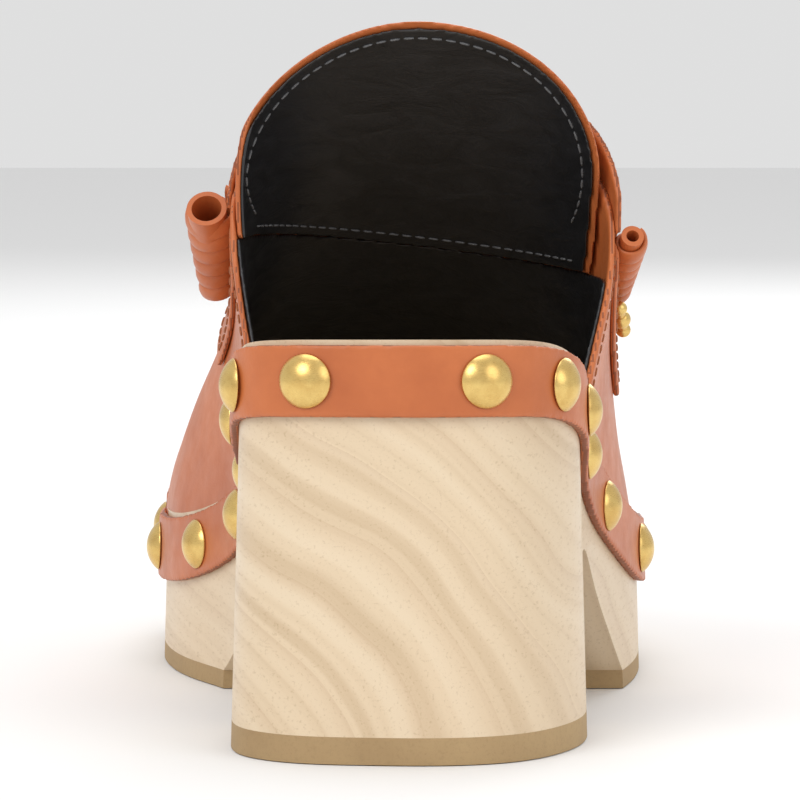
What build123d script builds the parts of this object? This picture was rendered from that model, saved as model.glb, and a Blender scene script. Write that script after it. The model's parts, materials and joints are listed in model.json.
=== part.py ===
"""A heeled platform clog, right shoe: one-piece wooden sole, nailed leather band and loafer upper.

The origin is the middle of the heel tread, on the ground. The toe points along +Y, the outer
(lateral) side is +X and up is +Z. Lengths along the shoe are given as distances from the back
of the heel, and ahead() turns them into Y.
"""
import math
import os

from build123d import *

# ---- driving dimensions, millimetres ----
HEEL_BACK = 29.0  # from the origin to the back of the heel
SOLE_LENGTH = 248.0
HEEL_LIFT = 5.5
OUTSOLE = 4.0
WALL_TAPER = 1.6  # degrees that the wooden walls lean in going up
BAND_WIDTH = 14.5
BAND_THICK = 2.0
BAND_DROP = 1.0  # bare wood left showing above the band
STUD_HEAD = 11.0
STUD_RISE = 2.7
STUD_SHANK = 1.8
STUD_DEPTH = 11.0
LEATHER = 1.8
LINING = 1.0
TONGUE_LEATHER = 1.4
TONGUE_LINING = 0.9
TONGUE_RIM = 1.5  # leather left showing round the tongue's lining
TONGUE_HALF = 40.3  # half width of the tongue's round top, seen from behind
TONGUE_RISE = 34.3
TONGUE_BASE = 113.0  # height where the round top starts
TONGUE_OUTER_POWER = 2.05  # of the ellipses that its two shoulders follow
TONGUE_INNER_POWER = 1.85
STRAP_LEATHER = 1.6
PUFF = 0.6  # toe stiffener
ROLL_WALL = 1.1
LACE_RADIUS = 0.6
LACE_TURNS = 6
MARGIN = 12.5  # depth of leather lasted down the side of the sole
SLIP = 0.05  # clearance between neighbouring soft layers

TOE_START = 188.0  # the outline turns into the toe curve here
TOE_TIP_X = -10.0
TOE_POWER = 2.35

# Height of the footbed edge, and half widths on the ground, each against distance from the heel back.
RIM = [(-6, 85.4), (0, 85.3), (12, 84.3), (25, 81.6), (40, 76.4), (57, 68.6), (76, 59.2), (94, 50.8),
       (108, 44.8), (120, 40.4), (133, 37.2), (150, 35.2), (171, 34.4), (190, 34.8), (215, 36.8),
       (254, 42.0)]
LATERAL = [(34, 36.4), (46, 37.2), (62, 37.4), (80, 39.6), (98, 43.6), (114, 47.8), (136, 51.6),
           (160, 52.8), (188, 50.2)]
MEDIAL = [(26, 36.4), (40, 36.6), (58, 35.0), (76, 34.0), (94, 35.6), (110, 39.6), (124, 46.0),
          (140, 51.8), (158, 55.4), (174, 56.4), (188, 55.2)]
HEEL_CURVE = [(-33.2, 13.0), (-22.6, 3.6), (-9.0, 0.7), (6.0, 0.0), (20.5, 4.6), (31.0, 17.2)]


def ahead(distance):
    """Y of a point that far ahead of the back of the heel."""
    return distance - HEEL_BACK


def smooth(table, at):
    """Cubic through the table's points, with the slopes of their neighbours."""
    last = len(table) - 1
    spot = max(i for i in range(last) if table[i][0] <= at or i == 0)

    def slope(i):
        low, high = table[max(i - 1, 0)], table[min(i + 1, last)]
        return (high[1] - low[1]) / (high[0] - low[0])

    (a, start), (b, end) = table[spot], table[spot + 1]
    run = b - a
    t = (at - a) / run
    return (
        (2 * t**3 - 3 * t**2 + 1) * start
        + (t**3 - 2 * t**2 + t) * run * slope(spot)
        + (3 * t**2 - 2 * t**3) * end
        + (t**3 - t**2) * run * slope(spot + 1)
    )


def rim(distance):
    """Height of the footbed's edge."""
    return smooth(RIM, distance)


def lean(height):
    """How far the wooden wall has leaned in at a height."""
    return height * math.tan(math.radians(WALL_TAPER))


def power_arch(turn, power):
    """Side and rise shares of a power ellipse, with turn from -1 at one foot to 1 at the other."""
    angle = math.radians(90 * (1 - abs(turn)))
    side = math.cos(angle) ** (2 / power) if abs(turn) > 1e-9 else 0.0
    return math.copysign(side, turn), math.sin(angle) ** (2 / power)


def toe_point(turn):
    """A point of the toe in the plan outline on the ground."""
    left, right = -smooth(MEDIAL, TOE_START), smooth(LATERAL, TOE_START)
    middle = (left + right) / 2
    side, rise = power_arch(turn, TOE_POWER)
    return (
        middle + (right - left) / 2 * side + (TOE_TIP_X - middle) * rise,
        ahead(TOE_START + (SOLE_LENGTH - TOE_START) * rise),
    )


def plan_points():
    """The sole's outline on the ground, from the inner side round the heel, out to the toe and back."""
    inner = [(-smooth(MEDIAL, d), ahead(d)) for d in range(176, 25, -12)]
    heel = [(x, ahead(d)) for x, d in HEEL_CURVE]
    outer = [(smooth(LATERAL, d), ahead(d)) for d in range(34, 180, 12)]
    toe = [toe_point(turn / 8) for turn in range(8, -9, -1)]
    return inner + heel + outer + toe


def outset(points, reach):
    """A closed ring of points moved reach outwards."""
    moved = []
    for i, (x, y) in enumerate(points):
        (x0, y0), (x1, y1) = points[i - 1], points[(i + 1) % len(points)]
        length = math.hypot(x1 - x0, y1 - y0)
        moved.append((x + reach * (y1 - y0) / length, y - reach * (x1 - x0) / length))
    return moved


def column(reach, height=100.0):
    """A column of the sole's outline, reach outside it, leaning in like the wooden walls."""
    with BuildPart() as body:
        for level in (0, height):
            with BuildSketch(Plane.XY.offset(level)):
                with BuildLine():
                    Spline(outset(plan_points(), reach - lean(level)), periodic=True)
                make_face()
        loft(ruled=True)
    return body.part


def side_prism(points, x_from=-90.0, x_to=90.0):
    """A prism across the shoe from side-view points, distance from the heel back and height."""
    with BuildPart() as body:
        with BuildSketch(Plane.YZ.offset(x_from)):
            with BuildLine():
                Polyline([(ahead(d), z) for d, z in points], close=True)
            make_face()
        extrude(amount=x_to - x_from)
    return body.part


def rim_strip(top_drop, bottom_drop, first=-8.0, last=258.0):
    """A prism across the shoe between two drops below the footbed's edge."""
    steps = 26
    spots = [first + (last - first) * i / steps for i in range(steps + 1)]
    with BuildPart() as body:
        with BuildSketch(Plane.YZ.offset(-90)):
            with BuildLine():
                upper = Spline([(ahead(d), rim(d) - top_drop) for d in spots])
                lower = Spline([(ahead(d), rim(d) - bottom_drop) for d in spots])
                Line(upper @ 0, lower @ 0)
                Line(upper @ 1, lower @ 1)
            make_face()
        extrude(amount=180)
    return body.part


# ---- the foot-shaped hood that the upper's layers follow ----
# Each station: distance of the feet, distance and height of the ridge, how far the ridge's outward
# direction has turned forward from vertical, and how much the two walls swell with height.
STATIONS = [
    (52, 92, 158.0, 44, 44.0, 50.0),
    (72, 108, 143.0, 44, 44.0, 50.0),
    (94, 126, 126.0, 44, 30.0, 34.0),
    (118, 146, 107.5, 42, 14.0, 16.0),
    (140, 166, 92.0, 36, 5.0, 5.0),
    (160, 188, 78.5, 30, 0.0, 0.0),
    (174, 208, 68.5, 30, 0.0, 0.0),
    (182, 226, 58.5, 40, 0.0, 0.0),
    (186, 240, 46.5, 60, 0.0, 0.0),
    (188, 247, 33.0, 84, 0.0, 0.0),
    (TOE_START, 248.2, 24.0, 90, 0.0, 0.0),
]
BASE_DROP = 15.0  # the hood's feet are this far below the footbed's edge
RIDGE_X = 1.5  # where the ridge starts, over the instep
RIDGE_POWER = 2.05  # of the ellipse that the first station follows


def hood_section(station, inset):
    """Planar outline across the hood at a station, inset inside its outer face."""
    foot, ridge, top, turned, swell_inner, swell_outer = station
    base = rim(foot) - BASE_DROP
    shrink = lean(rim(foot) - BASE_DROP) + inset
    inner, outer = smooth(MEDIAL, foot) - shrink, smooth(LATERAL, foot) - shrink
    nose = math.radians(turned)
    ridge -= inset * math.sin(nose)
    top -= inset * math.cos(nose)
    share = (foot - STATIONS[0][0]) / (TOE_START - STATIONS[0][0])
    power = RIDGE_POWER + (TOE_POWER - RIDGE_POWER) * share
    tip_x = RIDGE_X + (TOE_TIP_X - RIDGE_X) * share**2
    middle = (outer - inner) / 2 * share
    arch = []
    for step in range(-10, 11):
        side, rise = power_arch(step / 10, power)
        swell = (swell_outer if side > 0 else swell_inner) * rise**2
        half = (outer - middle if side > 0 else inner + middle) + swell
        arch.append(Vector(
            middle + half * side + (tip_x - middle) * rise,
            ahead(foot + (ridge - foot) * rise),
            base + (top - base) * rise,
        ))
    return Wire([Edge.make_spline(arch), Edge.make_line(arch[-1], arch[0])])


def hood(inset, stations=STATIONS):
    """Solid hood through the stations."""
    return Solid.make_loft([hood_section(s, inset) for s in stations])


def shell(outer_inset, inner_inset, region, stations=STATIONS):
    """The part of a hood's wall, between two insets, that lies in a region."""
    return (hood(outer_inset, stations) & region) - hood(inner_inset, stations)


def surface_x(distance, height, side, inset):
    """X of the hood's face at a place in the side view; side is 1 outer or -1 inner."""
    hits = hood(inset).find_intersection_points(Axis((0, ahead(distance), height), (side, 0, 0)))
    return max((p.X for p, _ in hits), key=lambda x: x * side)


def largest(body):
    """The piece itself, without the crumbs that a cut leaves beside it."""
    return body.solids().sort_by(SortBy.VOLUME)[-1]


def save(body, name):
    """Label a finished piece and write it."""
    body.label = name
    export_step(body, f"parts/{name}.step")


os.makedirs("parts", exist_ok=True)

# ---- where things lie in the side view: distance from the heel back, and height ----
HEEL_BREAST = 58.0
TREAD_START = 113.0  # back edge of the forefoot's tread
SPRING_START = 190.0  # the toe lifts off the ground from here
VAMP_EDGE_INNER = [(71, 30), (72, 56), (79, 72), (89, 87), (96, 98), (99.5, 106), (104, 111)]
VAMP_EDGE_OUTER = [(71, 30), (72, 56), (80, 71), (91, 84), (99, 92.5), (102.5, 98), (105, 104)]
THROAT = (127, 134)  # the vamp's top edge on the ridge, under the strap
TOE_SPRING = [(215, 1.6), (236, 6.0), (254, 12.0)]  # the sole's underside, lifting at the toe
# Each roll: distance and height of its back end, its radius there, and the same for its front end.
ROLLS = {
    "inner": ((105.5, 106.5, 4.4), (131.0, 88.0, 2.8)),
    "outer": ((105.0, 100.5, 2.5), (129.0, 86.0, 2.0)),
}
PLUG_OUTLINE = [(-31, 100), (-31, 150), (-29, 186), (-20, 214), (-7, 225), (6, 214), (16, 186), (21, 150),
                (24, 100)]


def spring_line(lift):
    """The line of the toe spring, lifted off the ground."""
    return Spline([(ahead(d), z + lift) for d, z in [(SPRING_START, 0)] + TOE_SPRING],
                  tangents=[(1, 0), (1, 0.42)])


# ---- the one-piece wooden sole, before anything is cut from it ----
with BuildPart() as sole_profile:
    with BuildSketch(Plane.YZ.offset(-90)):
        with BuildLine():
            crest = Spline([(ahead(d), rim(d)) for d in range(-6, 255, 13)])
            heel = Line(crest @ 0, (ahead(-6), HEEL_LIFT))
            Line(heel @ 1, (ahead(HEEL_BREAST), HEEL_LIFT))
            arch = Spline([(ahead(d), z) for d, z in (
                (HEEL_BREAST, HEEL_LIFT), (59.5, 22), (63.5, 33.5), (72, 35.5), (86, 26.5), (100, 14.5),
                (TREAD_START, OUTSOLE))])
            Line(arch @ 1, (ahead(SPRING_START), OUTSOLE))
            toe = spring_line(OUTSOLE)
            Line(toe @ 1, crest @ 1)
        make_face()
    extrude(amount=180)

with BuildPart() as footbed_hollow:
    with BuildLine() as hollow_path:
        Spline([(0.5, ahead(d), rim(d) + lift) for d, lift in (
            (5, 2.6), (18, 0.6), (34, 0), (60, 0), (94, 0), (133, 0), (171, 0), (205, 0.6), (232, 3.0))])
    start = Plane(hollow_path.line @ 0, x_dir=(1, 0, 0), z_dir=(hollow_path.line % 0) * -1)
    with BuildSketch(start):
        with BuildLine():
            bowl = ThreePointArc((-27, 0), (0, -2.5), (27, 0))
            Polyline(bowl @ 1, (27, 9), (-27, 9), bowl @ 0)
        make_face()
    sweep()

wood = (column(0) & sole_profile.part) - footbed_hollow.part

# ---- heel lift and forefoot outsole, rubber ----
lift_box = side_prism([(-8, 0), (HEEL_BREAST, 0), (HEEL_BREAST, HEEL_LIFT), (-8, HEEL_LIFT)])
heel_lift = column(0) & lift_box

with BuildPart() as tread_profile:
    with BuildSketch(Plane.YZ.offset(-90)):
        with BuildLine():
            lower, upper = spring_line(0), spring_line(OUTSOLE)
            Line(lower @ 1, upper @ 1)
            Polyline(upper @ 0, (ahead(TREAD_START), OUTSOLE), (ahead(TREAD_START), 0), lower @ 0)
        make_face()
    extrude(amount=180)
outsole = column(0) & tread_profile.part


# ---- the upper's layers ----
def vamp_region(back, x_from, x_to):
    """Side-view region ahead of the vamp's back edge and below its throat."""
    with BuildPart() as body:
        with BuildSketch(Plane.YZ.offset(x_from)):
            with BuildLine():
                edge = Spline([(ahead(d), z) for d, z in back])
                Polyline(edge @ 1, (ahead(THROAT[0]), THROAT[1]), (ahead(300), THROAT[1]),
                         (ahead(300), back[0][1] - 30), (ahead(back[0][0]), back[0][1] - 30), edge @ 0)
            make_face()
        extrude(amount=x_to - x_from)
    return body.part


forepart = vamp_region(VAMP_EDGE_INNER, -90, 0) + vamp_region(VAMP_EDGE_OUTER, 0, 90)
above_margin = rim_strip(-160, MARGIN)
above_footbed = rim_strip(-160, 0)

with BuildPart() as plug_prism:
    with BuildSketch(Plane.XY):
        with BuildLine():
            bow = Spline([(x, ahead(d)) for x, d in PLUG_OUTLINE])
            Line(bow @ 1, bow @ 0)
        make_face()
    extrude(amount=180)


def tongue_prism(trim):
    """The tongue's outline seen from behind, trimmed all round, drawn out along the shoe."""
    arch = []
    for step in range(8, -9, -1):
        side, rise = power_arch(step / 8, TONGUE_OUTER_POWER if step > 0 else TONGUE_INNER_POWER)
        arch.append((RIDGE_X + (TONGUE_HALF - trim) * side, TONGUE_BASE + (TONGUE_RISE - trim) * rise))
    with BuildPart() as body:
        with BuildSketch(Plane.XZ.offset(-ahead(190))):
            with BuildLine():
                dome = Spline(arch)
                Polyline(dome @ 0, (40.8 - trim, 96), (38.0 - trim, 70), (trim - 35, 70), (trim - 37.4, 96),
                         dome @ 1)
            make_face()
        extrude(amount=100)
    return body.part


seam_plane = Plane((0, 0, 96), x_dir=(1, 0, -0.12), z_dir=(0.12, 0, 1))
above_seam = seam_plane.location * Box(300, 400, 100, align=(Align.CENTER, Align.CENTER, Align.MIN))
tongue_region = above_seam & side_prism([(98, 70), (98, 165), (175, 165), (175, 70)])

vamp_skin = shell(0, LEATHER, forepart & above_margin)
vamp_plug = vamp_skin & plug_prism.part
vamp_wrap = vamp_skin - plug_prism.part
tongue_inset = LEATHER + SLIP
tongue_outer = shell(
    tongue_inset, tongue_inset + TONGUE_LEATHER, tongue_prism(0) & tongue_region, STATIONS[:6])
lined_inset = tongue_inset + TONGUE_LEATHER
tongue_lining = shell(
    lined_inset, lined_inset + TONGUE_LINING, tongue_prism(TONGUE_RIM) & tongue_region, STATIONS[:6])
toe_region = side_prism([(204, 0), (204, 120), (300, 120), (300, 0)])
toe_puff = shell(LEATHER, LEATHER + PUFF, toe_region & above_footbed)
vamp_lining = shell(LEATHER, LEATHER + LINING, forepart & above_footbed) - toe_puff - above_seam

# ---- strap over the instep, each end coming to a point ----
STRAP_SADDLE = [(103.5, 109), (119, 145), (158, 120)]
STRAP_END_INNER = [(151, 98), (146, 86), (141, 76.5), (131, 70), (119, 80), (110, 93)]
STRAP_END_OUTER = [(150, 98), (143, 84), (138, 70), (126, 63.5), (113, 76), (106, 92)]
inner_half = side_prism(STRAP_SADDLE + STRAP_END_INNER, -90, 0)
outer_half = side_prism(STRAP_SADDLE + STRAP_END_OUTER, 0, 90)
strap = shell(-STRAP_LEATHER, 0, inner_half + outer_half)

RIM_MID = BAND_DROP + BAND_WIDTH / 2  # the studs' drop below the footbed's edge


# ---- fasteners round the edge of the sole ----
def edge_places(spots, drop, reach):
    """Planes facing out of the sole's wall, at distances round it from the middle of the heel's back."""
    with BuildLine() as ring:
        Spline(plan_points(), periodic=True)
    wire = ring.wire()
    samples = [wire.position_at(i / 800) for i in range(800)]
    start = min(range(800), key=lambda i: math.hypot(samples[i].X, samples[i].Y + HEEL_BACK)) / 800
    planes = []
    for spot in spots:
        share = (start + spot / wire.length) % 1
        place, along = wire.position_at(share), wire.tangent_at(share)
        height = rim(place.Y + HEEL_BACK) - drop
        out = Vector(along.Y, -along.X, 0).normalized()
        place = place + out * (reach - lean(height))
        tilt = math.tan(math.radians(WALL_TAPER))
        planes.append(Plane(
            (place.X, place.Y, height), x_dir=along, z_dir=(out.X, out.Y, tilt)))
    return planes, wire.length


def turned_pin(profile):
    """A solid of revolution about Z from (radius, height) points."""
    with BuildPart() as pin:
        with BuildSketch(Plane.XZ):
            with BuildLine():
                Polyline(profile, close=True)
            make_face()
        revolve(axis=Axis.Z)
    return pin.part


with BuildPart() as stud:
    with BuildSketch(Plane.XZ):
        with BuildLine():
            shaft = Polyline([(0, 0.25 + STUD_RISE), (0, -STUD_DEPTH), (STUD_SHANK / 2, -STUD_DEPTH + 2.5),
                              (STUD_SHANK / 2, 0), (STUD_HEAD / 2, 0), (STUD_HEAD / 2, 0.25)])
            RadiusArc(shaft @ 1, shaft @ 0, -(STUD_HEAD**2 / 4 + STUD_RISE**2) / (2 * STUD_RISE))
        make_face()
    revolve(axis=Axis.Z)

STUDS_OUTER = [15.5, 39, 62, 86, 116, 155]  # from the middle of the heel's back, forward along the edge
STUDS_INNER = [21.3, 44.5, 71, 98, 125, 152, 190]
TOE_STUDS = 6
_, round_length = edge_places([], 0, 0)
toe_gap = (round_length - STUDS_OUTER[-1] - STUDS_INNER[-1]) / (TOE_STUDS + 1)
toe_spots = [STUDS_OUTER[-1] + toe_gap * (i + 1) for i in range(TOE_STUDS)]
stud_planes, _ = edge_places(
    STUDS_OUTER + [-spot for spot in STUDS_INNER] + toe_spots, RIM_MID, BAND_THICK + 0.02)
studs = {"heel": [], "inner": [], "outer": [], "toe": []}
for i, plane in enumerate(stud_planes):
    side = "heel" if plane.origin.Y < ahead(12) else "outer" if i < 6 else "inner" if i < 13 else "toe"
    studs[side].append(plane.location * stud.part)

tack = turned_pin([(0, 0), (0, -10), (0.6, -8), (0.6, -0.5), (1.6, -0.5), (1.6, 0)])
fore_spots = STUDS_OUTER[-2:] + toe_spots + [round_length - spot for spot in STUDS_INNER[:3:-1]]
tack_spots = [a + (b - a) * share for a, b in zip(fore_spots, fore_spots[1:]) for share in (1 / 3, 2 / 3)]
tack_planes, _ = edge_places(tack_spots, MARGIN - 2.6, 0)
tacks = [plane.location * tack for plane in tack_planes]

lift_nail = turned_pin([(0, 26), (1.2, 23), (1.2, 3), (2.2, 3), (2.2, 2), (0, 2)])
nail_hole = Cylinder(2.4, 2.0, align=(Align.CENTER, Align.CENTER, Align.MIN))
nail_spots = [(-20, 18), (20, 18), (-22, 44), (22, 44)]
nails = [Pos(x, ahead(d), 0) * lift_nail for x, d in nail_spots]
nail_holes = [Pos(x, ahead(d), 0) * nail_hole for x, d in nail_spots]

# ---- hollow whipped rolls at the strap's ends, wider at the back ----
rolls, lacings, nests = {}, {}, []
standing = (Align.CENTER, Align.CENTER, Align.MIN)
for name, side in (("inner", -1), ("outer", 1)):
    ends = []
    for d, z, radius in ROLLS[name]:
        out = surface_x(d, z, side, -STRAP_LEATHER) + side * (radius + 0.1)
        ends.append(Vector(out, ahead(d), z))
    run = ends[1] - ends[0]
    wide, narrow = (radius for d, z, radius in ROLLS[name])
    place = Plane(ends[0], z_dir=run).location
    bore = Cone(wide - ROLL_WALL, narrow - ROLL_WALL, run.length, align=standing)
    nest = place * Cone(wide + 2 * LACE_RADIUS, narrow + 2 * LACE_RADIUS, run.length, align=standing)
    rolls[name] = place * (Cone(wide, narrow, run.length, align=standing) - bore)
    nests.append(nest)
    lacings[name] = []
    for i in range(LACE_TURNS):
        share = (i + 0.5) / LACE_TURNS
        turn = Torus(wide + (narrow - wide) * share + LACE_RADIUS, LACE_RADIUS)
        lacings[name].append(place * (Pos(0, 0, run.length * share) * turn) - rolls[name])
strap = strap - nests

# ---- small brass ornament on the outer end of the strap ----
ORNAMENT_AT = (124.0, 81.0)
ORNAMENT_LENGTH = 13.0
ornament_x = surface_x(*ORNAMENT_AT, 1, -STRAP_LEATHER)
ornament_centre = Vector(ornament_x + 1.9, ahead(ORNAMENT_AT[0]), ORNAMENT_AT[1])
bar_dir = Vector(0.12, 0.83, -0.55).normalized()
bar_plane = Plane(ornament_centre, z_dir=bar_dir)
bar = Cylinder(1.1, ORNAMENT_LENGTH - 3)
balls = [Pos(0, 0, end * (ORNAMENT_LENGTH / 2 - 1.7)) * Sphere(1.7) for end in (-1, 1)]
knot = Sphere(2.1)
prongs = [Plane(ornament_centre + bar_dir * step, z_dir=(-1, 0, 0)).location
          * Cylinder(0.6, 4.6, align=(Align.CENTER, Align.CENTER, Align.MIN)) for step in (-2.8, 2.8)]
ornament = (bar_plane.location * (bar + balls + knot)) + prongs

# ---- cut each piece clear of what passes through it, then write them ----
all_studs = [pin for group in studs.values() for pin in group]
band = (column(BAND_THICK) - column(0)) & rim_strip(BAND_DROP, BAND_DROP + BAND_WIDTH)
band = band - vamp_skin - all_studs
joint = Pos(-45, ahead(92), 40) * Box(30, 0.3, 60)
band = band - joint
wooden_sole = wood - vamp_skin - vamp_lining - toe_puff - all_studs - tacks - nails
vamp_wrap = vamp_wrap - all_studs - tacks - tongue_outer - ornament
vamp_plug = vamp_plug - tongue_outer
vamp_lining = vamp_lining - all_studs - ornament
heel_lift = heel_lift - nails - nail_holes

save(largest(wooden_sole), "wooden_sole")
save(heel_lift, "heel_lift")
save(outsole, "forefoot_outsole")
save(Compound(children=nails), "heel_lift_nails")
save(largest(band), "rand_band")
for side, group in studs.items():
    save(Compound(children=group), f"studs_{side}")
save(Compound(children=tacks), "lasting_tacks")
save(largest(vamp_wrap), "vamp_wrap")
save(largest(vamp_plug), "vamp_plug")
save(largest(vamp_lining), "vamp_lining")
save(toe_puff, "toe_puff")
save(tongue_outer - ornament, "tongue_outer")
save(tongue_lining - ornament, "tongue_lining")
save(largest(strap - ornament), "saddle_strap")
for side in ("inner", "outer"):
    save(rolls[side], f"strap_roll_{side}")
    save(Compound(children=lacings[side]), f"roll_lacing_{side}")
save(ornament, "strap_ornament")
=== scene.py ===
import json
import math

import bmesh
import bpy
from mathutils import Matrix, Vector, noise
from mathutils.bvhtree import BVHTree

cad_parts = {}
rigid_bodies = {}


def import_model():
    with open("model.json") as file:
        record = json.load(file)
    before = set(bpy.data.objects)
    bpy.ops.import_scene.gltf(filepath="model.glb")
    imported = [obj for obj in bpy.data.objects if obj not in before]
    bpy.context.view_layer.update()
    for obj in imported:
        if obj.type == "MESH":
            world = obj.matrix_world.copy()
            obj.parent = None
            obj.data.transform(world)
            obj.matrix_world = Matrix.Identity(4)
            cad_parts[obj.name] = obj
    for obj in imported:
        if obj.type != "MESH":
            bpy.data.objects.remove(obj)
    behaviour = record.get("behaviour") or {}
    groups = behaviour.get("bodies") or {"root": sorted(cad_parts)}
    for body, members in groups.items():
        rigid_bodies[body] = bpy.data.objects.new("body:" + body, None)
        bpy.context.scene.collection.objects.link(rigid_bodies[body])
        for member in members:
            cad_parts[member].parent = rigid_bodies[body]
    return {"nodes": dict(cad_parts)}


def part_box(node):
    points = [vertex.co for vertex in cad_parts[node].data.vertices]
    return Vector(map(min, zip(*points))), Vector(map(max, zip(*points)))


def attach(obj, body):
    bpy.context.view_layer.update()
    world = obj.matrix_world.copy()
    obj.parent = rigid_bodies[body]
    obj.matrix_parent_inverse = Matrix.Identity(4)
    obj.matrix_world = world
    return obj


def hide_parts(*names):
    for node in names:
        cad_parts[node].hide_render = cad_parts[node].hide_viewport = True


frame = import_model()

for spare in [o for o in bpy.data.objects if o.name in ("Cube", "Light", "Camera")]:
    bpy.data.objects.remove(spare)

MM = 0.001
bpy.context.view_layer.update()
BODY = "root"
NODES = frame["nodes"]
HEEL_BACK_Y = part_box("heel_lift")[0].y  # the back of the heel; distances forward start here
scene = bpy.context.scene


# ---------------------------------------------------------------- camera, light and floor
def add_camera():
    """A long lens straight behind the heel and a little above it."""
    data = bpy.data.cameras.new("camera")
    data.sensor_width = 36
    data.lens = 238.5
    data.clip_end = 20
    camera = bpy.data.objects.new("camera", data)
    scene.collection.objects.link(camera)
    camera.location = (-1.8 * MM, HEEL_BACK_Y - 1.05, 0.161)
    camera.rotation_euler = (math.radians(90 - 4.77), 0, 0)
    scene.camera = camera


def area_light(name, place, target, size, power):
    """A round soft light aimed at a point."""
    data = bpy.data.lights.new(name, "AREA")
    data.shape = "DISK"
    data.size = size
    data.energy = power
    light = bpy.data.objects.new(name, data)
    scene.collection.objects.link(light)
    light.location = place
    light.rotation_euler = (Vector(target) - Vector(place)).to_track_quat("-Z", "Y").to_euler()


def add_studio():
    middle = (0, 0.05, 0.07)
    area_light("key", (-0.75, -0.95, 1.05), middle, 0.9, 8)
    area_light("fill", (0.95, -0.8, 0.7), middle, 1.0, 3.2)
    area_light("top", (0, 0.25, 1.3), middle, 1.0, 4)
    area_light("toe", (0.3, 1.3, 0.8), middle, 0.9, 5)
    world = bpy.data.worlds.new("studio")
    world.use_nodes = True
    world.node_tree.nodes["Background"].inputs["Color"].default_value = (1, 1, 1, 1)
    world.node_tree.nodes["Background"].inputs["Strength"].default_value = 0.74
    scene.world = world
    scene.view_settings.view_transform = "Standard"
    bpy.ops.mesh.primitive_plane_add(size=6, location=(0, 0, -0.0002))
    floor = bpy.context.object
    floor.name = "floor"
    material = new_material("floor", (0.86, 0.86, 0.86), 0.85)[0]
    floor.data.materials.append(material)


# ---------------------------------------------------------------- material helpers
def new_material(name, colour, roughness, metallic=0.0, coat=0.0):
    """A material and its node tree, its shader and its object coordinates."""
    material = bpy.data.materials.new(name)
    material.use_nodes = True
    tree = material.node_tree
    shader = tree.nodes["Principled BSDF"]
    shader.inputs["Base Color"].default_value = (*colour, 1)
    shader.inputs["Roughness"].default_value = roughness
    shader.inputs["Metallic"].default_value = metallic
    shader.inputs["Coat Weight"].default_value = coat
    place = tree.nodes.new("ShaderNodeTexCoord").outputs["Object"]
    return material, tree, shader, place


def add_node(tree, kind, values=None, **links):
    """A node with its settings, values for its sockets, and links into named sockets."""
    node = tree.nodes.new(kind)
    for key, value in (values or {}).items():
        if key in node.inputs:
            node.inputs[key].default_value = value
        else:
            setattr(node, key, value)
    for key, source in links.items():
        tree.links.new(source, node.inputs[key.replace("_", " ")])
    return node


def stretched(tree, place, scale, turn=(0, 0, 0)):
    node = add_node(tree, "ShaderNodeMapping", {"Scale": scale, "Rotation": turn}, Vector=place)
    return node.outputs["Vector"]


def noise_of(tree, place, scale, detail=3.0, rough=0.55, distort=0.0):
    values = {"Scale": scale, "Detail": detail, "Roughness": rough, "Distortion": distort}
    return add_node(tree, "ShaderNodeTexNoise", values, Vector=place).outputs["Fac"]


def ramp(tree, factor, stops):
    node = add_node(tree, "ShaderNodeValToRGB", Fac=factor)
    elements = node.color_ramp.elements
    while len(elements) < len(stops):
        elements.new(0.5)
    for element, (at, colour) in zip(elements, stops):
        element.position = at
        element.color = (*colour, 1)
    return node.outputs["Color"]


def spread(tree, factor, low, high, start=0.25, end=0.75):
    """A factor mapped from start..end to low..high."""
    values = {"From Min": start, "From Max": end, "To Min": low, "To Max": high}
    return add_node(tree, "ShaderNodeMapRange", values, Value=factor).outputs["Result"]


def maths(tree, operation, first, second):
    node = tree.nodes.new("ShaderNodeMath")
    node.operation = operation
    for socket, value in zip(node.inputs, (first, second)):
        if isinstance(value, (int, float)):
            socket.default_value = value
        else:
            tree.links.new(value, socket)
    return node.outputs[0]


def mixed(tree, factor, first, second, blend="MIX"):
    node = tree.nodes.new("ShaderNodeMix")
    node.data_type = "RGBA"
    node.blend_type = blend
    for socket, value in ((node.inputs[0], factor), (node.inputs[6], first), (node.inputs[7], second)):
        if isinstance(value, (int, float)):
            socket.default_value = value
        elif isinstance(value, tuple):
            socket.default_value = (*value, 1)
        else:
            tree.links.new(value, socket)
    return node.outputs[2]


def add_bumps(tree, shader, *layers):
    """Stack (height, strength, distance) layers of bump onto a shader."""
    normal = None
    for height, strength, distance in layers:
        bump = add_node(tree, "ShaderNodeBump", {"Strength": strength, "Distance": distance}, Height=height)
        if normal:
            tree.links.new(normal, bump.inputs["Normal"])
        normal = bump.outputs["Normal"]
    tree.links.new(normal, shader.inputs["Normal"])


def into(tree, output, shader, socket):
    tree.links.new(output, shader.inputs[socket])


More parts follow.
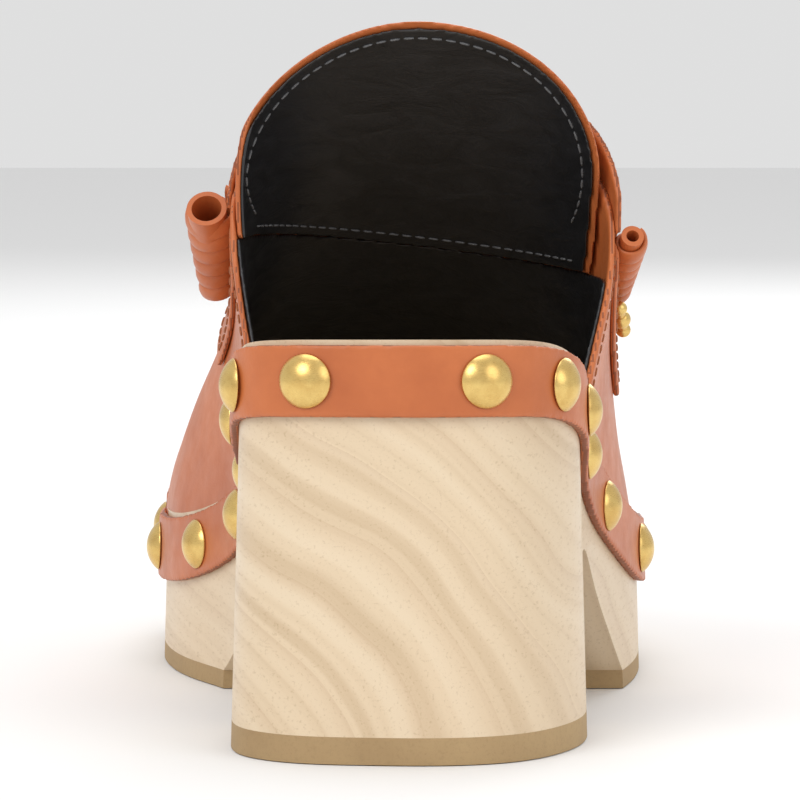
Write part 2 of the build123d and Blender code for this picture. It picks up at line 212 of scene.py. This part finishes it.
# ---------------------------------------------------------------- materials
def make_wood():
    """Pale hardwood. Growth rings run along the shoe, so they curve across the heel's back."""
    material, tree, shader, place = new_material("pale_wood", (0.68, 0.53, 0.35), 0.46, coat=0.12)
    parts = add_node(tree, "ShaderNodeSeparateXYZ", Vector=place)
    warp = noise_of(tree, stretched(tree, place, (1, 0.35, 1)), 16, 2)
    across = maths(tree, "ADD", parts.outputs["X"], 0.072)
    up = maths(tree, "ADD", parts.outputs["Z"], 0.034)
    radius = maths(tree, "SQRT", maths(tree, "ADD", maths(tree, "MULTIPLY", across, across),
                                       maths(tree, "MULTIPLY", up, up)), 0)
    radius = maths(tree, "ADD", radius, maths(tree, "MULTIPLY", warp, 0.016))
    rings = tree.nodes.new("ShaderNodeTexNoise")
    rings.noise_dimensions = "1D"
    rings.inputs["Scale"].default_value = 150
    rings.inputs["Detail"].default_value = 3.5
    tree.links.new(radius, rings.inputs["W"])
    saw = maths(tree, "FRACT", maths(tree, "MULTIPLY", radius, 74), 0)
    late = maths(tree, "POWER", saw, 7)
    base = ramp(tree, rings.outputs["Fac"], [
        (0.28, (0.60, 0.45, 0.285)), (0.5, (0.715, 0.565, 0.385)), (0.72, (0.76, 0.62, 0.44))])
    base = mixed(tree, maths(tree, "MULTIPLY", late, 0.30), base, (0.48, 0.31, 0.175))
    clouds = noise_of(tree, place, 22, 3)
    base = mixed(tree, spread(tree, clouds, 0, 0.35), base, (0.76, 0.585, 0.40))
    fibre = noise_of(tree, stretched(tree, place, (1, 0.05, 1)), 1500, 3, 0.7)
    pores = ramp(tree, fibre, [(0.30, (0.72, 0.66, 0.58)), (0.44, (1, 1, 1))])
    base = mixed(tree, 0.55, base, pores, "MULTIPLY")
    into(tree, base, shader, "Base Color")
    into(tree, spread(tree, fibre, 0.56, 0.40), shader, "Roughness")
    add_bumps(tree, shader, (fibre, 0.12, 0.15 * MM), (saw, 0.05, 0.2 * MM))
    return material


def make_leather(name, light, dark, gloss=0.40, grain=1.0):
    """Smooth full-grain leather: fine pores, faint creases and uneven dye."""
    material, tree, shader, place = new_material(name, light, gloss, coat=0.08)
    shader.inputs["Coat Roughness"].default_value = 0.35
    shader.inputs["Specular IOR Level"].default_value = 0.42
    dye = noise_of(tree, place, 38, 4, 0.6)
    rub = noise_of(tree, place, 210, 4, 0.65)
    base = ramp(tree, dye, [(0.25, dark), (0.62, light)])
    base = mixed(tree, spread(tree, rub, 0.0, 0.26, 0.45, 0.8), base, dark)
    pores = add_node(tree, "ShaderNodeTexVoronoi", {"Scale": 1500.0}, Vector=place).outputs["Distance"]
    fine = noise_of(tree, place, 2600, 3, 0.6)
    crease = noise_of(tree, stretched(tree, place, (1, 1, 2.2)), 330, 4, 0.6, 0.6)
    into(tree, base, shader, "Base Color")
    into(tree, spread(tree, rub, gloss - 0.06, gloss + 0.10), shader, "Roughness")
    add_bumps(tree, shader, (pores, 0.16 * grain, 0.12 * MM), (fine, 0.14 * grain, 0.06 * MM),
              (crease, 0.16 * grain, 0.35 * MM))
    return material


def make_lining():
    """Black glazed lining leather with soft wrinkles that run across the tongue. Its colour follows the
    wrinkles as painted shade: darker in their hollows, lighter on their ridges.
    """
    material, tree, shader, place = new_material("black_lining", (0.012, 0.012, 0.013), 0.36, coat=0.18)
    shader.inputs["Coat Roughness"].default_value = 0.28
    shader.inputs["Specular IOR Level"].default_value = 0.55
    wrinkle_and_shade = noise_of(tree, stretched(tree, place, (1, 1, 2.6), (0, 0.7, 0)), 85, 3, 0.55, 0.9)
    fine = noise_of(tree, place, 1900, 3, 0.6)
    grain = add_node(tree, "ShaderNodeTexVoronoi", {"Scale": 1150.0}, Vector=place).outputs["Distance"]
    # Painted shade: the black is darker where the wrinkle bump is low (the hollows) and lighter on its
    # ridges.
    base = ramp(tree, wrinkle_and_shade, [(0.3, (0.006, 0.006, 0.007)), (0.75, (0.019, 0.019, 0.021))])
    into(tree, base, shader, "Base Color")
    into(tree, spread(tree, wrinkle_and_shade, 0.46, 0.31), shader, "Roughness")
    add_bumps(tree, shader, (grain, 0.2, 0.12 * MM), (fine, 0.15, 0.08 * MM), (wrinkle_and_shade, 0.5, 0.9 * MM))
    return material


def make_rubber():
    """Matte tan rubber with fine flecks and a moulded skin."""
    material, tree, shader, place = new_material("tan_rubber", (0.40, 0.27, 0.13), 0.72)
    fleck = noise_of(tree, place, 1300, 2, 0.8)
    broad = noise_of(tree, place, 45, 4)
    base = ramp(tree, broad, [(0.3, (0.36, 0.235, 0.11)), (0.7, (0.45, 0.31, 0.155))])
    base = mixed(tree, spread(tree, fleck, 0, 0.35, 0.5, 0.8), base, (0.24, 0.15, 0.07))
    into(tree, base, shader, "Base Color")
    into(tree, spread(tree, broad, 0.64, 0.8), shader, "Roughness")
    add_bumps(tree, shader, (fleck, 0.3, 0.1 * MM), (noise_of(tree, place, 420, 3), 0.2, 0.2 * MM))
    return material


def make_metal(name, light, dark, gloss):
    """Satin metal with light handling marks."""
    material, tree, shader, place = new_material(name, light, gloss, metallic=1.0)
    tarnish = noise_of(tree, place, 260, 4, 0.6)
    marks = noise_of(tree, stretched(tree, place, (1, 1, 7)), 900, 3, 0.6)
    into(tree, ramp(tree, tarnish, [(0.3, dark), (0.62, light)]), shader, "Base Color")
    into(tree, spread(tree, marks, gloss - 0.05, gloss + 0.12), shader, "Roughness")
    add_bumps(tree, shader, (tarnish, 0.06, 0.2 * MM), (marks, 0.05, 0.05 * MM))
    return material


def make_thread(name, light, dark):
    """Waxed twisted thread."""
    material, tree, shader, place = new_material(name, light, 0.55)
    ply = noise_of(tree, place, 3200, 2, 0.6)
    into(tree, ramp(tree, ply, [(0.35, dark), (0.65, light)]), shader, "Base Color")
    into(tree, spread(tree, ply, 0.5, 0.68), shader, "Roughness")
    add_bumps(tree, shader, (ply, 0.4, 0.1 * MM))
    return material


TAN, TAN_DARK = (0.56, 0.155, 0.045), (0.43, 0.105, 0.028)
WOOD = make_wood()
LEATHER = make_leather("tan_leather", TAN, TAN_DARK)
EDGE = make_leather("edge_paint", (0.285, 0.075, 0.022), (0.20, 0.048, 0.015), 0.5, 0.5)
LINING = make_lining()
RUBBER = make_rubber()
BRASS = make_metal("brass", (0.80, 0.565, 0.20), (0.66, 0.43, 0.14), 0.27)
STEEL = make_metal("steel", (0.55, 0.55, 0.56), (0.4, 0.4, 0.41), 0.3)
GREY_THREAD = make_thread("grey_thread", (0.15, 0.15, 0.155), (0.07, 0.07, 0.075))
TAN_THREAD = make_thread("tan_thread", (0.40, 0.13, 0.04), (0.26, 0.08, 0.025))


# ---------------------------------------------------------------- mesh helpers
def dress(node, *materials):
    """Give a CAD node its material."""
    slots = NODES[node].material_slots
    for slot in slots:
        slot.material = materials[0]


def piece(name, mesh, slot, *materials, replaces=()):
    """A visible piece from a finished mesh."""
    obj = bpy.data.objects.new(name, mesh)
    scene.collection.objects.link(obj)
    for material in materials:
        mesh.materials.append(material)
    for polygon in mesh.polygons:
        polygon.use_smooth = True
    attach(obj, BODY)
    if replaces:
        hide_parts(*replaces)
    return obj


def tree_of(mesh):
    return BVHTree.FromPolygons([v.co for v in mesh.vertices], [p.vertices for p in mesh.polygons])


def remeshed(node, voxel, rounds):
    """A fine even copy of a CAD node's mesh, with its edges softened."""
    work = bpy.data.objects.new("work", NODES[node].data.copy())
    scene.collection.objects.link(work)
    weld = work.modifiers.new("weld", "WELD")
    weld.merge_threshold = 0.01 * MM
    remesh = work.modifiers.new("remesh", "REMESH")
    remesh.mode = "VOXEL"
    remesh.voxel_size = voxel
    smooth = work.modifiers.new("smooth", "SMOOTH")
    smooth.factor = 0.5
    smooth.iterations = rounds
    graph = bpy.context.evaluated_depsgraph_get()
    mesh = bpy.data.meshes.new_from_object(work.evaluated_get(graph))
    mesh.materials.clear()
    bpy.data.objects.remove(work)
    return mesh


def soft_piece(node, slot, face, edge, thickness, voxel=0.5 * MM, rounds=10, ripple=0.0):
    """A soft layer as a fine mesh: painted cut edges, softened corners and slight unevenness."""
    mesh = remeshed(node, voxel, rounds)
    solid = tree_of(mesh)
    edge_reach = 2.0 * thickness
    sides = []
    for polygon in mesh.polygons:
        inside = polygon.center - polygon.normal * 0.05 * MM
        hit = solid.ray_cast(inside, -polygon.normal, 0.03)
        sides.append(1 if hit[0] is None or hit[3] > edge_reach else 0)
    if ripple:
        normals = [vertex.normal.copy() for vertex in mesh.vertices]
        places = [vertex.co.copy() for vertex in mesh.vertices]
        moved = [p + n * ripple * noise.noise(p * 55) for p, n in zip(places, normals)]
        mesh.vertices.foreach_set("co", [value for place in moved for value in place])
    obj = piece(f"{node}_leather", mesh, slot, face, edge, replaces=(node,))
    mesh.polygons.foreach_set("material_index", sides)
    return obj


def even(points, step):
    """Points evenly spaced by step along a polyline, with directions."""
    out, carry = [], 0.0
    for a, b in zip(points, points[1:]):
        length = (b - a).length
        if length < 1e-7:
            continue
        along = (b - a) / length
        while carry <= length:
            out.append((a + along * carry, along))
            carry += step
        carry -= length
    return out


def capsule(bm, centre, along, up, length, width, rise):
    """One stitch: a rounded grain of thread."""
    side = along.cross(up).normalized()
    turns, rings = 8, 5
    loops = []
    for i in range(rings):
        angle = math.pi * (i + 0.5) / rings - math.pi / 2
        middle = centre + along * (math.sin(angle) * length / 2)
        size = math.cos(angle) ** 0.5
        loops.append([bm.verts.new(middle + side * (math.cos(t) * width / 2 * size)
                                   + up * (math.sin(t) * rise * size))
                      for t in (2 * math.pi * k / turns for k in range(turns))])
    for low, high in zip(loops, loops[1:]):
        for k in range(turns):
            bm.faces.new((low[k], low[(k + 1) % turns], high[(k + 1) % turns], high[k]))
    bm.faces.new(list(reversed(loops[0])))
    bm.faces.new(loops[-1])


def stitches(name, path, slot, material, length=2.3 * MM, gap=0.75 * MM, width=0.55 * MM, rise=0.28 * MM,
             turn=0.0, pitch=None):
    """A row of stitches along a path of (place, outward normal)."""
    solid = bmesh.new()
    for centre, along in even([place for place, _ in path], pitch or length + gap):
        normal = min(path, key=lambda pn: (pn[0] - centre).length_squared)[1]
        up = (normal - along * normal.dot(along)).normalized()
        run = Matrix.Rotation(turn, 3, up) @ along
        capsule(solid, centre + up * rise * 0.35, run, up, length, width, rise)
    mesh = bpy.data.meshes.new(name)
    solid.to_mesh(mesh)
    solid.free()
    return piece(name, mesh, slot, material)


def tube(name, path, slot, material, radius, rise=0.0):
    """A smooth cord laid along a path of (place, outward normal)."""
    solid = bmesh.new()
    turns = 12
    loops = []
    for i, (place, normal) in enumerate(path):
        ahead_place = path[min(i + 1, len(path) - 1)][0]
        along = (ahead_place - path[max(i - 1, 0)][0]).normalized()
        up = (normal - along * normal.dot(along)).normalized()
        side = along.cross(up)
        middle = place + up * rise
        end = min(i, len(path) - 1 - i)
        size = radius * (min(1.0, 0.45 + 0.3 * end))
        loops.append([solid.verts.new(middle + side * math.cos(t) * size + up * math.sin(t) * size)
                      for t in (2 * math.pi * k / turns for k in range(turns))])
    for low, high in zip(loops, loops[1:]):
        for k in range(turns):
            solid.faces.new((low[k], low[(k + 1) % turns], high[(k + 1) % turns], high[k]))
    solid.faces.new(list(reversed(loops[0])))
    solid.faces.new(loops[-1])
    bmesh.ops.recalc_face_normals(solid, faces=solid.faces)
    mesh = bpy.data.meshes.new(name)
    solid.to_mesh(mesh)
    solid.free()
    return piece(name, mesh, slot, material)


def cast(surface, rays):
    """Where (origin, direction) rays meet a surface, with its normals facing back along each ray."""
    hits = []
    for origin, direction in rays:
        place, normal, _, _ = surface.ray_cast(origin, direction)
        if place is not None:
            hits.append((place, normal if normal.dot(direction) < 0 else -normal))
    return hits


def side_point(x, distance, height):
    """A point from millimetres: across, ahead of the heel's back, and up."""
    return Vector((x * MM, HEEL_BACK_Y + distance * MM, height * MM))


def curve_points(points, count=40):
    """A smooth run of count points through a few."""
    last = len(points) - 1
    out = []
    for i in range(count):
        t = i / (count - 1) * last
        k = min(int(t), last - 1)
        t -= k
        p = [Vector(points[min(max(j, 0), last)]) for j in (k - 1, k, k + 1, k + 2)]
        out.append(0.5 * (2 * p[1] + (p[2] - p[0]) * t + (2 * p[0] - 5 * p[1] + 4 * p[2] - p[3]) * t * t
                          + (3 * p[1] - p[0] - 3 * p[2] + p[3]) * t**3))
    return out


# ---------------------------------------------------------------- hard parts
def make_hard_parts():
    dress("wooden_sole", WOOD)
    for node in ("heel_lift", "forefoot_outsole"):
        dress(node, RUBBER)
    for node in ("heel_lift_nails", "lasting_tacks"):
        dress(node, STEEL)
    dress("toe_puff", make_thread("toe_stiffener", (0.60, 0.56, 0.46), (0.50, 0.46, 0.37)))
    dress("strap_ornament", BRASS)


def loose_parts(mesh):
    """Vertex places of each separate part of a mesh."""
    bm = bmesh.new()
    bm.from_mesh(mesh)
    bmesh.ops.remove_doubles(bm, verts=bm.verts, dist=0.01 * MM)
    left = set(bm.verts)
    parts = []
    while left:
        stack, part = [left.pop()], []
        while stack:
            vertex = stack.pop()
            part.append(vertex.co.copy())
            for edge in vertex.link_edges:
                other = edge.other_vert(vertex)
                if other in left:
                    left.remove(other)
                    stack.append(other)
        parts.append(part)
    bm.free()
    return parts


def make_studs():
    """Domed brass nails, turned from a profile with a rolled lip."""
    head, rise, lip = 5.5 * MM, 2.95 * MM, 0.35 * MM
    ball = (head**2 + (rise - lip) ** 2) / (2 * (rise - lip))
    dome = [(head * i / 14, rise - ball + math.sqrt(ball**2 - (head * i / 14) ** 2)) for i in range(13)]
    profile = dome + [(head - 0.12 * MM, lip + 0.12 * MM), (head, lip * 0.6), (head - 0.05 * MM, 0.1 * MM),
                      (head - 0.5 * MM, 0.0), (0.9 * MM, 0.0), (0.9 * MM, -8.5 * MM), (0.0, -11 * MM)]
    turns = 40
    for node in ("studs_heel", "studs_inner", "studs_outer", "studs_toe"):
        bm = bmesh.new()
        for part in loose_parts(NODES[node].data):
            centre = sum(part, Vector()) / len(part)
            tip = max(part, key=lambda p: (p - centre).length)
            axis = (centre - tip).normalized()
            apex = max((p - tip).dot(axis) for p in part)
            base = tip + axis * (apex - rise)
            side = axis.orthogonal().normalized()
            other = axis.cross(side)
            rings = []
            for radius, level in profile:
                if radius < 1e-9:
                    rings.append([bm.verts.new(base + axis * level)])
                    continue
                rings.append([bm.verts.new(base + axis * level + side * radius * math.cos(t)
                                           + other * radius * math.sin(t))
                              for t in (2 * math.pi * k / turns for k in range(turns))])
            for low, high in zip(rings, rings[1:]):
                for k in range(turns):
                    after = (k + 1) % turns
                    corners = [low[k % len(low)], low[after % len(low)], high[after % len(high)],
                               high[k % len(high)]]
                    bm.faces.new(list(dict.fromkeys(corners)))
        bmesh.ops.recalc_face_normals(bm, faces=bm.faces)
        mesh = bpy.data.meshes.new(node)
        bm.to_mesh(mesh)
        bm.free()
        piece(f"{node}_domes", mesh, "brass", BRASS, replaces=(node,))


# ---------------------------------------------------------------- leather parts
def make_leathers():
    soft_piece("vamp_wrap", "tan_leather", LEATHER, EDGE, 1.8 * MM, 0.6 * MM, 12, 0.25 * MM)
    soft_piece("vamp_plug", "tan_leather", LEATHER, EDGE, 1.8 * MM, 0.5 * MM, 12, 0.25 * MM)
    soft_piece("saddle_strap", "tan_leather", LEATHER, EDGE, 1.6 * MM, 0.45 * MM, 8, 0.15 * MM)
    soft_piece("tongue_outer", "tan_leather", LEATHER, EDGE, 1.4 * MM, 0.45 * MM, 6)
    soft_piece("rand_band", "tan_leather", LEATHER, EDGE, 2.0 * MM, 0.5 * MM, 6)
    soft_piece("tongue_lining", "black_lining", LINING, LINING, 0.9 * MM, 0.45 * MM, 5)
    soft_piece("vamp_lining", "black_lining", LINING, LINING, 1.0 * MM, 0.55 * MM, 5)
    for side in ("inner", "outer"):
        dress(f"strap_roll_{side}", LEATHER)


def make_lacing(side):
    """Flat leather lace whipped round a roll."""
    points = [v.co for v in NODES[f"strap_roll_{side}"].data.vertices]
    forwardness = [p.y - p.z for p in points]
    back = points[forwardness.index(min(forwardness))]
    front = points[forwardness.index(max(forwardness))]
    for _ in range(4):
        axis = (front - back).normalized()
        along = [p.dot(axis) for p in points]
        rings = ([p for p, at in zip(points, along) if at < min(along) + 0.5 * MM],
                 [p for p, at in zip(points, along) if at > max(along) - 0.5 * MM])
        back, front = (sum(ring, Vector()) / len(ring) for ring in rings)
    wide, narrow = (max((p - middle).length for p in ring) for ring, middle in zip(rings, (back, front)))
    axis = (front - back).normalized()
    length = (front - back).length
    side_dir = axis.orthogonal().normalized()
    other = axis.cross(side_dir)
    turns, steps = 5.6, 40
    width, rise, slices = 2.7 * MM, 1.3 * MM, 10
    bm = bmesh.new()
    loops = []
    count = int(turns * steps)
    for i in range(count + 1):
        angle = 2 * math.pi * i / steps
        out = side_dir * math.cos(angle) + other * math.sin(angle)
        share = i / count
        core = wide + (narrow - wide) * share
        place = back + axis * (3.2 * MM + (length - 5.4 * MM) * share)
        loops.append([bm.verts.new(place + axis * math.cos(t) * width
                                   + out * (core + rise * (0.4 + 0.6 * math.sin(t))))
                      for t in (2 * math.pi * k / slices for k in range(slices))])
    for a, b in zip(loops, loops[1:]):
        for k in range(slices):
            bm.faces.new((a[k], a[(k + 1) % slices], b[(k + 1) % slices], b[k]))
    bm.faces.new(list(reversed(loops[0])))
    bm.faces.new(loops[-1])
    bmesh.ops.recalc_face_normals(bm, faces=bm.faces)
    mesh = bpy.data.meshes.new(f"lacing_{side}")
    bm.to_mesh(mesh)
    bm.free()
    piece(f"roll_whipping_{side}", mesh, "tan_leather", LEATHER, replaces=(f"roll_lacing_{side}",))


# ---------------------------------------------------------------- seams
def make_seams():
    tongue = tree_of(NODES["tongue_lining"].data)
    wrap = tree_of(NODES["vamp_wrap"].data)
    plug = tree_of(NODES["vamp_plug"].data)
    strap = tree_of(NODES["saddle_strap"].data)
    forward, down = Vector((0, 1, 0)), Vector((0, 0, -1))

    rim = []
    for i in range(121):
        angle = math.radians(-18 + 216 * i / 120)
        power = 2 / (2.05 if math.cos(angle) > 0 else 1.85)
        x = 1.5 + 36.7 * math.copysign(abs(math.cos(angle)) ** power, math.cos(angle))
        z = 113 + 30.7 * math.copysign(abs(math.sin(angle)) ** power, math.sin(angle))
        rim.append((side_point(x, -60, z), forward))
    stitches("tongue_edge_stitching", cast(tongue, rim), "black_lining", GREY_THREAD)

    seam = [(side_point(x, -60, 98.2 - 0.12 * x), forward) for x in range(-33, 38)]
    stitches("throat_seam_stitching", cast(tongue, seam), "black_lining", GREY_THREAD)

    edges = {-1: [(76, 60), (82.5, 72), (92, 86.5), (99, 97), (102, 104)],
             1: [(76, 60), (83.5, 71), (94, 83.5), (101.5, 91.5), (105, 96.5)]}
    tabs = {-1: [(113.2, 92.5), (121.3, 81.6), (131, 73.6), (138.7, 78.6), (143.2, 87)],
            1: [(109, 91), (115.2, 77.6), (126.2, 67.2), (135.6, 72.3), (140, 82)]}
    for side, name in ((-1, "inner"), (1, "outer")):
        rays = [(side_point(side * 90, d, z), Vector((-side, 0, 0))) for d, z in curve_points(edges[side])]
        stitches(f"vamp_edge_stitching_{name}", cast(wrap, rays), "tan_leather", TAN_THREAD)
        rays = [(side_point(side * 90, d, z), Vector((-side, 0, 0))) for d, z in even_side(tabs[side])]
        stitches(f"strap_end_stitching_{name}", cast(strap, rays), "tan_leather", TAN_THREAD)

    for name, foot, head in (("back", (106, 109), (121.3, 144.5)), ("front", (141.5, 90), (152.5, 117))):
        centre = side_point(2, foot[0], foot[1])
        up = (side_point(2, *head) - centre).normalized()
        rays = []
        for i in range(91):
            angle = math.radians(-82 + 164 * i / 90)
            out = Vector((math.sin(angle), 0, 0)) + up * math.cos(angle)
            rays.append((centre + out * 0.12, -out))
        stitches(f"strap_{name}_stitching", cast(strap, rays), "tan_leather", TAN_THREAD)

    bow = [(-30.6, 132), (-31, 150), (-29, 186), (-20, 214), (-7, 225), (6, 214), (16, 186), (21, 150),
           (22.6, 132)]
    top = [(side_point(x, d, 200), down) for x, d in curve_points(bow, 160)]
    landings = [cast(wrap, [ray]) + cast(plug, [ray]) for ray in top]
    line = [max(hits, key=lambda hit: hit[0].z) for hits in landings if hits]
    tube("apron_seam_ridge", line, "tan_leather", LEATHER, 1.15 * MM, 0.15 * MM)
    stitches("apron_seam_stitching", [(p + n * 1.1 * MM, n) for p, n in line], "tan_leather", TAN_THREAD,
             length=3.2 * MM, width=0.7 * MM, turn=math.radians(72), pitch=3.6 * MM)


def even_side(points, step=1.0):
    """Side-view points about a millimetre apart along straight runs."""
    out = []
    for (d0, z0), (d1, z1) in zip(points, points[1:]):
        count = max(1, round(math.hypot(d1 - d0, z1 - z0) / step))
        out += [(d0 + (d1 - d0) * i / count, z0 + (z1 - z0) * i / count) for i in range(count)]
    return out + [points[-1]]


add_camera()
add_studio()
make_hard_parts()
make_studs()
make_leathers()
make_lacing("inner")
make_lacing("outer")
make_seams()
